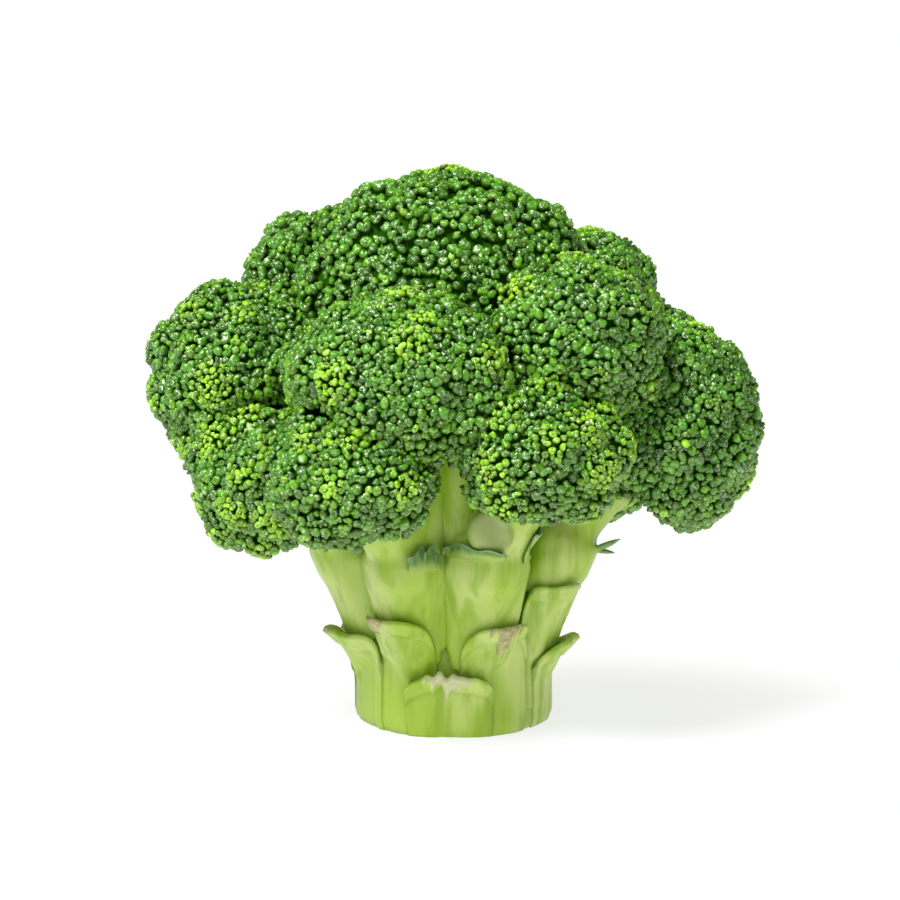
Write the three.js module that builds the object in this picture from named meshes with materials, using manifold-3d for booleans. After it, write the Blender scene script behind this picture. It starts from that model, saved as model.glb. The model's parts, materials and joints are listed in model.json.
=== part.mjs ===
// A broccoli head standing on its cut stalk: the stalk with the bases of its cut leaves,
// the branches that rise from it, and the crowns of flower buds that the branches carry.
// Millimetres, +Z up. The origin is on the cut face that the head stands on, at the middle
// of the object's footprint, and -Y is the side with the low front leaf base.

import * as THREE from "three";
import { mergeVertices } from "three/addons/utils/BufferGeometryUtils.js";
import Module from "manifold-3d";

const wasm = await Module();
wasm.setup();

// Driving dimensions.
const STALK_RADIUS = 23.5;
const STALK_WAIST = 22.5; // the stalk's radius where the branches leave it
const WAIST_HEIGHT = 22;
const CORE_RADIUS = 10; // the main stem above the branches
const BRANCH_RADIUS = 10;
const STEM_RADIUS = 7; // a branch past its fork
const FORK_REACH = 25.5;
const FORK_HEIGHT = 43;
const BRANCH_ROOT_REACH = 13.5; // where a branch starts, inside the stalk
const BRANCH_ROOT_HEIGHT = 11;
const BRANCH_WIDENING = 0.08; // how much wider a branch is at its fork than at its root
const BRANCH_THINNING = 0.1; // how much thinner it is there, from its outside to its inside
const SEAT_DEPTH = 0.5; // how deep a stem stands in its crown, as a share of the underside
const STEM_STRAIGHT = 0.45; // how much of a stem's length runs straight into its crown
const STEM_FLARE = 0.5; // a stem's radius at its crown, as a share of the crown's least radius
const SPRING_HEIGHT = 33; // the point on the axis that every crown faces away from
const LEAF_BASE_THICKNESS = 5.2;
const LEAF_BASE_SINK = 0.6; // how far a leaf base's middle line lies inside the stalk at its foot
const LEAF_BASE_ROOT = 3; // how far it starts below its foot
const GAP = 0.3; // between pieces that touch
const CREASE_ROUNDING = 1.2; // how softly a crown turns down into the crease beside its neighbour
const UNDERSIDE = 0.66; // how far behind its centre a crown ends, as a share of its least radius
const UNDERSIDE_ROUNDING = 9;
const LUMP = 0.03; // how uneven a crown's dome is, as a share of its radius
const LUMPS = 4; // how often a crown's dome swells and sinks over one radian
const STALK_RIBS = 6;
const RIB_DEPTH = 0.02; // as a share of the stalk's radius
const LEAFLET_THICKNESS = 2.8; // at a leaflet's foot
const LEAFLET_DROOP = 0.8; // how far a leaflet's tip falls outwards

// Facets.
const CROWN_DETAIL = 3;
const TOP_CROWN_DETAIL = 4;
const BRANCH_SIDES = 8;
const STALK_SIDES = 30;
const LIMB_STEPS = 5;
const STEM_STEPS = 4;
const KNUCKLE_RINGS = 6;
const LEAF_BASE_STEPS = 6;
const LEAFLET_STEPS = 4;

const UP = new THREE.Vector3(0, 0, 1);

// A crown stands at an azimuth round the axis, counted from +X towards +Y, at a reach from the
// axis and a height. Its dome has three radii: across the azimuth, outwards and upwards.
const CROWNS = [
  { name: "top", azimuth: 135, reach: 3, height: 101, radii: [36, 36.5, 33] },
  { name: "upper_left", azimuth: 158, reach: 36, height: 104.5, radii: [20, 16.5, 18.5] },
  { name: "upper_right", azimuth: 32, reach: 37, height: 98.5, radii: [21, 19, 18.5] },
  { name: "left", azimuth: 184, reach: 52.5, height: 85, radii: [23, 22, 22] },
  { name: "right", azimuth: 352, reach: 50, height: 72.5, radii: [25, 24, 27] },
  { name: "front", azimuth: 252.5, reach: 41, height: 88, radii: [29, 22, 21] },
  { name: "front_right", azimuth: 314, reach: 40, height: 96, radii: [22, 20, 20] },
  { name: "back", azimuth: 98, reach: 41, height: 89, radii: [27, 22, 22] },
  { name: "back_left", azimuth: 143, reach: 51, height: 82, radii: [23, 21, 21] },
  { name: "back_right", azimuth: 54, reach: 48, height: 84, radii: [24, 21, 21] },
  { name: "side_right", azimuth: 24, reach: 53, height: 74, radii: [22, 20, 24] },
  { name: "low_left", azimuth: 204, reach: 48.5, height: 62.5, radii: [21, 18, 18.5] },
  { name: "low_front", azimuth: 241, reach: 49.5, height: 67, radii: [23, 18, 17.5] },
  { name: "low_front_right", azimuth: 295, reach: 49, height: 72, radii: [21, 17.5, 16.5] },
  { name: "low_side_left", azimuth: 170, reach: 47, height: 60, radii: [21, 18, 17.5] },
  { name: "low_back_left", azimuth: 130, reach: 46, height: 60, radii: [22, 18, 18] },
  { name: "low_back", azimuth: 88, reach: 45, height: 62, radii: [21, 18, 17] },
  { name: "low_back_right", azimuth: 48, reach: 46, height: 59, radii: [22, 18, 18] },
];

// A branch leaves the stalk at an azimuth and forks into one stem for each crown that it carries.
const BRANCHES = [
  { name: "front_left", azimuth: 243, crowns: ["low_front", "front"] },
  { name: "front_right", azimuth: 287, crowns: ["low_front_right", "front_right"] },
  { name: "right", azimuth: 342, crowns: ["right", "side_right", "upper_right"] },
  { name: "left", azimuth: 193, crowns: ["low_left", "left", "upper_left"] },
  { name: "back_left", azimuth: 146, crowns: ["low_side_left", "back_left"] },
  { name: "back", azimuth: 100, crowns: ["low_back_left", "low_back", "back"] },
  { name: "back_right", azimuth: 48, crowns: ["low_back_right", "back_right"] },
];

// A leaf base clasps the stalk at an azimuth, from a foot up to the cut that ended its leaf.
// lean is how far the cut end stands off the stalk.
const LEAF_BASES = [
  { name: "low_front", azimuth: 267, foot: 0, cut: 13.5, width: 20, lean: 1.5 },
  { name: "front_left", azimuth: 238, foot: 0, cut: 28.5, width: 17, lean: 3 },
  { name: "front_right", azimuth: 295, foot: 0, cut: 26.5, width: 17, lean: 3 },
  { name: "left", azimuth: 200, foot: 0, cut: 20.5, width: 18, lean: 6 },
  { name: "right", azimuth: 344, foot: 0, cut: 18.5, width: 15, lean: 5.5 },
  { name: "right_upper", azimuth: 325, foot: 8, cut: 34.5, width: 15, lean: 4 },
  { name: "back_right", azimuth: 28, foot: 0, cut: 24, width: 17, lean: 4 },
  { name: "back", azimuth: 74, foot: 0, cut: 15, width: 18, lean: 3 },
  { name: "back_left", azimuth: 118, foot: 0, cut: 26, width: 17, lean: 4 },
  { name: "side_left", azimuth: 158, foot: 0, cut: 17, width: 17, lean: 5 },
];

// Leaflets are small leaves left on the branches. Each stands at an azimuth, reach and height
// on its branch, and points outwards at an angle above the horizontal.
const LEAFLETS = [
  { name: "front_collar", azimuth: 278, reach: 32, height: 41, rise: 66, length: 9, width: 14 },
  { name: "front_frill", azimuth: 258, reach: 33, height: 41, rise: 66, length: 8, width: 6 },
  { name: "front_flap", azimuth: 303, reach: 36, height: 44, rise: 75, length: 10, width: 5 },
  { name: "right_sprig", azimuth: 347, reach: 33, height: 41, rise: 24, length: 9, width: 5 },
];

const polar = (azimuth, reach, height) => {
  const angle = THREE.MathUtils.degToRad(azimuth);
  return new THREE.Vector3(reach * Math.cos(angle), reach * Math.sin(angle), height);
};
const outwardOf = (azimuth) => polar(azimuth, 1, 0);
const acrossOf = (azimuth) => polar(azimuth + 90, 1, 0);

// Solids: three.js makes the shapes, and manifold-3d joins and cuts them.
function solidOf(geometry) {
  const bare = geometry.clone();
  bare.deleteAttribute("normal");
  bare.deleteAttribute("uv");
  const merged = mergeVertices(bare, 1e-3);
  return new wasm.Manifold(
    new wasm.Mesh({
      numProp: 3,
      vertProperties: merged.getAttribute("position").array,
      triVerts: new Uint32Array(merged.index.array),
    }),
  );
}

const joined = (solids) => solids.reduce((whole, solid) => whole.add(solid));
const cutBack = (solid, cutters) => cutters.reduce((left, cutter) => left.subtract(cutter), solid);

function largestBody(solid) {
  return solid.decompose().reduce((a, b) => (a.volume() > b.volume() ? a : b));
}

function meshOf(name, solid, material) {
  const { numProp, numVert, vertProperties, triVerts } = largestBody(solid).getMesh();
  const points = new Float32Array(numVert * 3);
  for (let i = 0; i < numVert; i++) {
    points.set(vertProperties.subarray(i * numProp, i * numProp + 3), i * 3);
  }
  const geometry = new THREE.BufferGeometry();
  geometry.setAttribute("position", new THREE.BufferAttribute(points, 3));
  geometry.setIndex(new THREE.BufferAttribute(triVerts, 1));
  geometry.computeVertexNormals();
  const mesh = new THREE.Mesh(geometry, material);
  mesh.name = name;
  return mesh;
}

// min(a, b) with the corner between them rounded over a width, never above either.
function softMin(a, b, width) {
  const near = Math.max(width - Math.abs(a - b), 0) / width;
  return Math.min(a, b) - (near * near * width) / 4;
}

// Moves each vertex of a geometry to where place(vertex) puts it.
function reshaped(geometry, place) {
  const position = geometry.getAttribute("position");
  const vertex = new THREE.Vector3();
  for (let i = 0; i < position.count; i++) {
    const { x, y, z } = place(vertex.fromBufferAttribute(position, i));
    position.setXYZ(i, x, y, z);
  }
  return geometry;
}

// A closed tube with an elliptical section along a curve. across is one axis of the section, and
// sectionAt(t) gives its two radii: along across, and square to it.
function tubeGeometry(curve, across, sectionAt, steps) {
  const unit = new THREE.CylinderGeometry(1, 1, 1, BRANCH_SIDES, steps);
  return reshaped(unit, ({ x, y, z }) => {
    const t = THREE.MathUtils.clamp(y + 0.5, 0, 1);
    const along = curve.getTangent(t);
    const square = new THREE.Vector3().crossVectors(across, along).normalize();
    const wide = new THREE.Vector3().crossVectors(along, square);
    const [wideRadius, squareRadius] = sectionAt(t);
    return curve
      .getPoint(t)
      .addScaledVector(wide, x * wideRadius)
      .addScaledVector(square, z * squareRadius);
  });
}

// Crowns.
function placeCrown(crown) {
  const [acrossRadius, outRadius, upRadius] = crown.radii;
  const centre = polar(crown.azimuth, crown.reach, crown.height);
  const facing = centre.clone().sub(new THREE.Vector3(0, 0, SPRING_HEIGHT)).normalize();
  return {
    ...crown,
    centre,
    facing,
    axes: [
      { along: acrossOf(crown.azimuth), radius: acrossRadius },
      { along: outwardOf(crown.azimuth), radius: outRadius },
      { along: UP, radius: upRadius },
    ],
    underside: UNDERSIDE * Math.min(...crown.radii),
  };
}

const domeRadius = (crown, direction) =>
  1 / Math.hypot(...crown.axes.map(({ along, radius }) => direction.dot(along) / radius));

// The plane in which two neighbouring domes meet, as a direction and a distance from this one.
function creaseWith(crown, other) {
  const toOther = other.centre.clone().sub(crown.centre);
  const apart = toOther.length();
  const direction = toOther.normalize();
  const own = domeRadius(crown, direction);
  const theirs = domeRadius(other, direction.clone().negate());
  return { direction, distance: (apart * apart + own * own - theirs * theirs) / (2 * apart) };
}

const crowns = CROWNS.map(placeCrown);
for (const crown of crowns) {
  crown.creases = crowns.filter((other) => other !== crown).map((other) => creaseWith(crown, other));
}
const crownNamed = (name) => crowns.find((crown) => crown.name === name);

// A wall that a direction only grazes, with a cosine below this, doesn't hold it back.
const LEAST_FACING = 0.01;

function crownSolid(crown, grow = 0) {
  const detail = crown.name === "top" ? TOP_CROWN_DETAIL : CROWN_DETAIL;
  const phase = THREE.MathUtils.degToRad(3 * crown.azimuth);
  const walls = crown.creases.map(({ direction, distance }) => ({
    direction,
    distance: distance - GAP / 2,
    rounding: CREASE_ROUNDING,
  }));
  walls.push({
    direction: crown.facing.clone().negate(),
    distance: crown.underside,
    rounding: UNDERSIDE_ROUNDING,
  });
  const geometry = reshaped(new THREE.IcosahedronGeometry(1, detail), (vertex) => {
    const direction = vertex.clone().normalize();
    const lump = Math.sin(LUMPS * direction.x + phase) * Math.sin(LUMPS * direction.y - phase);
    let reach = domeRadius(crown, direction) * (1 + LUMP * lump) + grow;
    for (const { direction: normal, distance, rounding } of walls) {
      const facing = direction.dot(normal);
      if (facing > LEAST_FACING) reach = softMin(reach, (distance + grow) / facing, rounding);
    }
    return direction.multiplyScalar(reach).add(crown.centre);
  });
  return solidOf(geometry);
}

// The stalk: a ribbed trunk that narrows into the core, which carries the top crown.
function stalkSolid(grow = 0) {
  const coreTop = crownNamed("top").height - 0.8 * crownNamed("top").underside;
  const outline = [
    [0, -grow],
    [STALK_RADIUS - 0.8, -grow],
    [STALK_RADIUS, 1],
    [STALK_RADIUS - 0.4, WAIST_HEIGHT / 2],
    [STALK_WAIST, WAIST_HEIGHT],
    [STALK_WAIST - 7, WAIST_HEIGHT + 8],
    [CORE_RADIUS + 2, WAIST_HEIGHT + 18],
    [CORE_RADIUS, WAIST_HEIGHT + 30],
    [CORE_RADIUS + 2, coreTop - 10],
    [CORE_RADIUS + 6, coreTop + grow],
    [0, coreTop + grow],
  ].map(([radius, height]) => new THREE.Vector2(radius && radius + grow, height));
  const geometry = new THREE.LatheGeometry(outline, STALK_SIDES).rotateX(Math.PI / 2);
  return solidOf(
    reshaped(geometry, ({ x, y, z }) => {
      const swell = 1 + RIB_DEPTH * Math.cos(STALK_RIBS * Math.atan2(y, x));
      return new THREE.Vector3(x * swell, y * swell, z);
    }),
  );
}

// Branches.
function branchSolid(branch, grow = 0) {
  const across = acrossOf(branch.azimuth);
  const fork = polar(branch.azimuth, FORK_REACH, FORK_HEIGHT);
  const limbPath = new THREE.CubicBezierCurve3(
    polar(branch.azimuth, BRANCH_ROOT_REACH, BRANCH_ROOT_HEIGHT),
    polar(branch.azimuth, BRANCH_ROOT_REACH + 2, BRANCH_ROOT_HEIGHT + 12),
    polar(branch.azimuth, FORK_REACH - 5.5, FORK_HEIGHT - 10),
    fork,
  );
  const limbSection = (t) => [
    BRANCH_RADIUS * (1 + BRANCH_WIDENING * t) + grow,
    BRANCH_RADIUS * (1 - BRANCH_THINNING * t) + grow,
  ];
  const limb = tubeGeometry(limbPath, across, limbSection, LIMB_STEPS);
  const knuckle = new THREE.SphereGeometry(BRANCH_RADIUS + grow, BRANCH_SIDES, KNUCKLE_RINGS);
  knuckle.translate(fork.x, fork.y, fork.z);
  const stems = branch.crowns.map((name) => {
    const crown = crownNamed(name);
    const seat = crown.centre.clone().addScaledVector(crown.facing, -SEAT_DEPTH * crown.underside);
    const straight = STEM_STRAIGHT * seat.distanceTo(fork);
    const approach = seat.clone().addScaledVector(crown.facing, -straight);
    const stemPath = new THREE.QuadraticBezierCurve3(fork, approach, seat);
    const flare = STEM_FLARE * Math.min(...crown.radii) - STEM_RADIUS;
    const radius = (t) => STEM_RADIUS + flare * t ** 3 + grow;
    const section = (t) => [radius(t), radius(t)];
    return tubeGeometry(stemPath, acrossOf(crown.azimuth), section, STEM_STEPS);
  });
  return joined([limb, knuckle, ...stems].map(solidOf));
}

// Leaf bases: tongues that clasp the stalk and lean away from it at the cut.
function leafBaseSolid(leafBase, grow = 0) {
  const { azimuth, foot, cut, width, lean } = leafBase;
  const stalkAt = (height) => THREE.MathUtils.lerp(STALK_RADIUS, STALK_WAIST, height / WAIST_HEIGHT);
  const path = new THREE.CubicBezierCurve3(
    polar(azimuth, stalkAt(foot) - LEAF_BASE_SINK, foot - LEAF_BASE_ROOT),
    polar(azimuth, stalkAt(foot) - LEAF_BASE_SINK, THREE.MathUtils.lerp(foot, cut, 0.4)),
    polar(azimuth, stalkAt(cut) - 0.4 + 0.2 * lean, THREE.MathUtils.lerp(foot, cut, 0.75)),
    polar(azimuth, stalkAt(cut) - 0.4 + lean, cut),
  );
  const section = (t) => [
    (width / 2) * (1 - 0.12 * Math.abs(2 * t - 1)) + grow,
    (LEAF_BASE_THICKNESS / 2) * (0.8 + 0.35 * t) + grow,
  ];
  return solidOf(tubeGeometry(path, acrossOf(azimuth), section, LEAF_BASE_STEPS));
}

// Leaflets: small leaves, thick at the foot and thin at the tip.
function leafletSolid(leaflet) {
  const { azimuth, reach, height, rise, length, width } = leaflet;
  const foot = polar(azimuth, reach, height);
  const heading = outwardOf(azimuth).applyAxisAngle(
    acrossOf(azimuth),
    THREE.MathUtils.degToRad(-rise),
  );
  const bend = foot.clone().addScaledVector(heading, length * 0.6);
  const droop = outwardOf(azimuth).multiplyScalar(LEAFLET_DROOP);
  const tip = foot.clone().addScaledVector(heading, length).add(droop);
  const path = new THREE.QuadraticBezierCurve3(foot, bend, tip);
  const section = (t) => [
    (width / 2) * (1 - 0.45 * t * t),
    (LEAFLET_THICKNESS / 2) * (1 - 0.43 * t),
  ];
  return solidOf(tubeGeometry(path, acrossOf(azimuth), section, LEAFLET_STEPS));
}

// Everything below the cut face is trimmed away.
const TRIM = 200;
const belowTheCut = solidOf(new THREE.BoxGeometry(TRIM, TRIM, TRIM).translate(0, 0, -TRIM / 2));

const finish = (color, roughness) => new THREE.MeshStandardMaterial({ color, roughness, metalness: 0 });
const STALK_FINISH = finish(0xa9c75c, 0.5);
const BRANCH_FINISH = finish(0x9dc250, 0.5);
const LEAF_BASE_FINISH = finish(0xb4cd72, 0.5);
const LEAFLET_FINISH = finish(0x5c8f3c, 0.5);
const CROWN_FINISH = finish(0x3c6e25, 0.6);

const broccoli = new THREE.Group();
const grownCrowns = crowns.map((crown) => crownSolid(crown, GAP));
const taken = [...grownCrowns];

for (const crown of crowns) {
  broccoli.add(meshOf(`crown_${crown.name}`, crownSolid(crown), CROWN_FINISH));
}
broccoli.add(meshOf("stalk", cutBack(stalkSolid(), grownCrowns), STALK_FINISH));
taken.push(stalkSolid(GAP));
for (const branch of BRANCHES) {
  broccoli.add(meshOf(`branch_${branch.name}`, cutBack(branchSolid(branch), taken), BRANCH_FINISH));
  taken.push(branchSolid(branch, GAP));
}
for (const leafBase of LEAF_BASES) {
  const body = cutBack(leafBaseSolid(leafBase), [...taken, belowTheCut]);
  broccoli.add(meshOf(`leaf_base_${leafBase.name}`, body, LEAF_BASE_FINISH));
  taken.push(leafBaseSolid(leafBase, GAP));
}
for (const leaflet of LEAFLETS) {
  broccoli.add(meshOf(`leaflet_${leaflet.name}`, cutBack(leafletSolid(leaflet), taken), LEAFLET_FINISH));
}

// The origin moves from the stalk's axis to the middle of the whole footprint.
const footprint = new THREE.Box3().setFromObject(broccoli).getCenter(new THREE.Vector3());
for (const mesh of broccoli.children) mesh.position.set(-footprint.x, -footprint.y, 0);

export default broccoli;
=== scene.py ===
"""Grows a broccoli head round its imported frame: a cut stalk with leaf bases and branches, and
crowns of flower buds. Everything is in metres, in the frame's own place."""

import json
import math
from contextlib import contextmanager

import bmesh
import bpy
import numpy as np
from bpy.props import FloatProperty, FloatVectorProperty, IntProperty, PointerProperty
from bpy.types import Operator, Panel, PropertyGroup
from mathutils import Matrix, Vector
from mathutils.bvhtree import BVHTree

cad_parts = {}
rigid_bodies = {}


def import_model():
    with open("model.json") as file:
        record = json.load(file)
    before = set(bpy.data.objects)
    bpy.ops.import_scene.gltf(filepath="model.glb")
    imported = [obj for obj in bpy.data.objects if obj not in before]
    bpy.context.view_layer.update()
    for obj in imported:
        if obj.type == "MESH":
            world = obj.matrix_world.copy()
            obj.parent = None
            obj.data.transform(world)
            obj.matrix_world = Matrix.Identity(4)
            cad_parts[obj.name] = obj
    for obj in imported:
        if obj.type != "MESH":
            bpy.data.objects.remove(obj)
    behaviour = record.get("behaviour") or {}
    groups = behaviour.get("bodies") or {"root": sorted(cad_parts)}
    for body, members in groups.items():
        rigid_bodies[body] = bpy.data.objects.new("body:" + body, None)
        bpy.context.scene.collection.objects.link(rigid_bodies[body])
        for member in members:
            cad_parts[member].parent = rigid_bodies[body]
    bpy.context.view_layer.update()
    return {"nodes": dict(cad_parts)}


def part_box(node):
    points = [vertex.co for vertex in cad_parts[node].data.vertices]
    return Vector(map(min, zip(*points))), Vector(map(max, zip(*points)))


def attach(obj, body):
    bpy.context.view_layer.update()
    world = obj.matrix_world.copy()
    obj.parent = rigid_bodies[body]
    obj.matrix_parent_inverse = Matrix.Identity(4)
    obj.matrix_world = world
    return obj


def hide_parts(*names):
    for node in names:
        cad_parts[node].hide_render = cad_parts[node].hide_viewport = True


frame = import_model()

bl_info = {
    "name": "Broccoli Head",
    "version": (1, 0, 0),
    "blender": (4, 5, 0),
    "location": "3D View > Sidebar > Broccoli",
    "description": "Grows a broccoli head with real flower buds round its packed frame",
    "category": "Add Mesh",
}

NODES = frame["nodes"]
MM = 0.001
GOLDEN_ANGLE = math.pi * (3 - math.sqrt(5))
ASLANT = np.array([0.31, 0.17, 0.93])  # a direction that no bud and no crown grows in
WELD = 0.001 * MM  # points this close are one

CROWNS = sorted(name for name in NODES if name.startswith("crown_"))
BRANCHES = sorted(name for name in NODES if name.startswith("branch_"))
LEAF_BASES = sorted(name for name in NODES if name.startswith("leaf_base_"))
LEAFLETS = sorted(name for name in NODES if name.startswith("leaflet_"))

# How young each crown's buds are: a young crown has more small, yellow-green buds.
YOUTH = {
    "crown_low_left": 0.7,
    "crown_low_front": 0.4,
    "crown_low_front_right": 0.4,
    "crown_left": 0.3,
    "crown_front": 0.35,
    "crown_low_side_left": 0.4,
    "crown_low_back_right": 0.35,
}
USUAL_YOUTH = 0.14


# ---- settings


class BudSettings(PropertyGroup):
    smallest: FloatProperty(
        name="Smallest bud",
        description="Width of the youngest buds, at the middle of a cluster",
        default=1.25 * MM,
        unit="LENGTH",
    )
    largest: FloatProperty(
        name="Largest bud",
        description="Width of the oldest buds, round the edge of a cluster",
        default=2.95 * MM,
        unit="LENGTH",
    )
    cluster: FloatProperty(
        name="Cluster width",
        description="Distance between the middles of neighbouring bud clusters",
        default=14 * MM,
        unit="LENGTH",
    )
    swell: FloatProperty(
        name="Cluster swell",
        description="How far a cluster domes out of its crown",
        default=2.6 * MM,
        unit="LENGTH",
    )
    seed: IntProperty(name="Seed", description="Seed of the random layout", default=7)
    young: FloatVectorProperty(
        name="Young bud",
        description="Colour of the youngest buds",
        subtype="COLOR",
        default=(0.25, 0.50, 0.006),
    )
    ripe: FloatVectorProperty(
        name="Ripe bud",
        description="Colour of the full-grown buds",
        subtype="COLOR",
        default=(0.068, 0.212, 0.001),
    )
    waxy: FloatVectorProperty(
        name="Waxy bud",
        description="Colour of the oldest buds, under their bluish wax",
        subtype="COLOR",
        default=(0.056, 0.188, 0.012),
    )
    # Painted shade: a near-black green for the flesh deep between the buds, where the buds shade
    # it.
    crease: FloatVectorProperty(
        name="Crease",
        description="Colour of the bud stalks deep between the buds",
        subtype="COLOR",
        default=(0.018, 0.085, 0.001),
    )


class StalkSettings(PropertyGroup):
    voxel: FloatProperty(
        name="Voxel",
        description="Grain of the stalk's and the branches' meshes",
        default=0.8 * MM,
        unit="LENGTH",
    )
    flesh: FloatVectorProperty(
        name="Flesh",
        description="Main colour of the stalk and the branches",
        subtype="COLOR",
        default=(0.46, 0.67, 0.065),
    )
    bloom: FloatVectorProperty(
        name="Bloom",
        description="Colour of the whitish wax on the stalk",
        subtype="COLOR",
        default=(0.62, 0.77, 0.21),
    )
    vein: FloatVectorProperty(
        name="Vein",
        description="Colour of the greener streaks along the stalk",
        subtype="COLOR",
        default=(0.31, 0.53, 0.012),
    )


class StageSettings(PropertyGroup):
    lens: FloatProperty(
        name="Lens",
        description="Focal length of the camera",
        default=150 * MM,
        unit="LENGTH",
    )
    distance: FloatProperty(
        name="Distance",
        description="From the camera to the head",
        default=0.91,
        unit="LENGTH",
    )
    elevation: FloatProperty(
        name="Elevation",
        description="Angle of the camera above the horizon",
        default=math.radians(9.5),
        subtype="ANGLE",
    )


# ---- meshes


def mesh_of(name, points, faces):
    """A smooth mesh from arrays of points and equal-sized faces."""
    mesh = bpy.data.meshes.new(name)
    sides = faces.shape[1]
    mesh.vertices.add(len(points))
    mesh.vertices.foreach_set("co", np.ascontiguousarray(points, dtype=np.float32).ravel())
    mesh.loops.add(faces.size)
    mesh.loops.foreach_set("vertex_index", np.ascontiguousarray(faces, dtype=np.int32).ravel())
    mesh.polygons.add(len(faces))
    mesh.polygons.foreach_set("loop_start", np.arange(0, faces.size, sides, dtype=np.int32))
    mesh.update(calc_edges=True)
    mesh.validate()
    mesh.shade_smooth()
    return mesh


def add_object(name, mesh, material=None):
    piece = bpy.data.objects.new(name, mesh)
    bpy.context.scene.collection.objects.link(piece)
    if material:
        mesh.materials.append(material)
    return piece


def settle(piece):
    """Applies the modifiers of a piece to its mesh."""
    depsgraph = bpy.context.evaluated_depsgraph_get()
    mesh = bpy.data.meshes.new_from_object(piece.evaluated_get(depsgraph))
    piece.modifiers.clear()
    piece.data = mesh
    return piece


@contextmanager
def editing(mesh):
    """Opens a mesh for editing, and writes it back at the end."""
    shape = bmesh.new()
    shape.from_mesh(mesh)
    yield shape
    shape.to_mesh(mesh)
    shape.free()


def welded_copy(node, name):
    """A copy of a node's mesh whose faces share their corners."""
    mesh = NODES[node].data.copy()
    mesh.materials.clear()
    with editing(mesh) as shape:
        bmesh.ops.remove_doubles(shape, verts=shape.verts, dist=WELD)
        bmesh.ops.triangulate(shape, faces=shape.faces)
    return add_object(name, mesh)


def points_of(mesh):
    points = np.empty(len(mesh.vertices) * 3)
    mesh.vertices.foreach_get("co", points)
    return points.reshape(-1, 3)


def normals_of(mesh):
    normals = np.empty(len(mesh.vertices) * 3)
    mesh.vertices.foreach_get("normal", normals)
    return normals.reshape(-1, 3)


def paint(mesh, name, colours, alpha=1.0):
    """Gives a mesh one linear colour, and one alpha, for each of its points."""
    layer = mesh.color_attributes.new(name, "FLOAT_COLOR", "POINT")
    values = np.empty((len(colours), 4), dtype=np.float32)
    values[:, :3] = colours
    values[:, 3] = alpha
    layer.data.foreach_set("color", values.ravel())


def unit(vectors):
    return vectors / np.maximum(np.linalg.norm(vectors, axis=-1, keepdims=True), 1e-12)


def sideways(vectors):
    """A direction square to each vector."""
    return unit(np.cross(vectors, ASLANT))


class Surface:
    """The surfaces of several meshes, as one tree."""

    def __init__(self, meshes):
        self.points, self.faces = [], []
        self.add(*meshes)

    def add(self, *meshes):
        for mesh in meshes:
            start = len(self.points)
            self.points += [vertex.co.copy() for vertex in mesh.vertices]
            self.faces += [[start + index for index in face.vertices] for face in mesh.polygons]
        self.tree = BVHTree.FromPolygons(self.points, self.faces)


def stalk_axis():
    """The stalk's axis: the middle of the stalk's box, across and along."""
    low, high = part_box("stalk")
    return (low[0] + high[0]) / 2, (low[1] + high[1]) / 2


def finish_piece(piece, node):
    """Rides a finished piece on the root body, and hides the node it stands for."""
    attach(piece, "root")
    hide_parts(node)


# ---- materials


# Linear colours that the settings don't hold.
FROST_AND_HIGHLIGHT = (0.56, 0.76, 0.40)  # the wax on a bud's tip, and a painted highlight there
STRANDS = (0.6, 0.7, 0.5)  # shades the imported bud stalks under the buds
UNDERSIDE = (0.33, 0.5, 0.07)  # the bare flesh under a crown
RAW_FLESH = (0.72, 0.78, 0.42)
# Dark green of veins and rims, and painted shade in the creases of leaf bases and under their
# lips.
DARK_GREEN_AND_SHADE = (0.12, 0.27, 0.012)
FOOT_PAINTED_SHADE = (0.76, 0.79, 0.55)  # painted shade on the skin near the floor
SCAB = ((0.36, 0.25, 0.10), (0.66, 0.58, 0.34))
BLADE = ((0.13, 0.28, 0.06), (0.22, 0.40, 0.10))
BLADE_FOOT = (0.45, 0.62, 0.12)
BLADE_RIM = (0.36, 0.52, 0.34)
FLOOR = ((0.03, 0.03, 0.03), (0.23, 0.23, 0.235))  # far from the head's shadow, and in it


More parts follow.
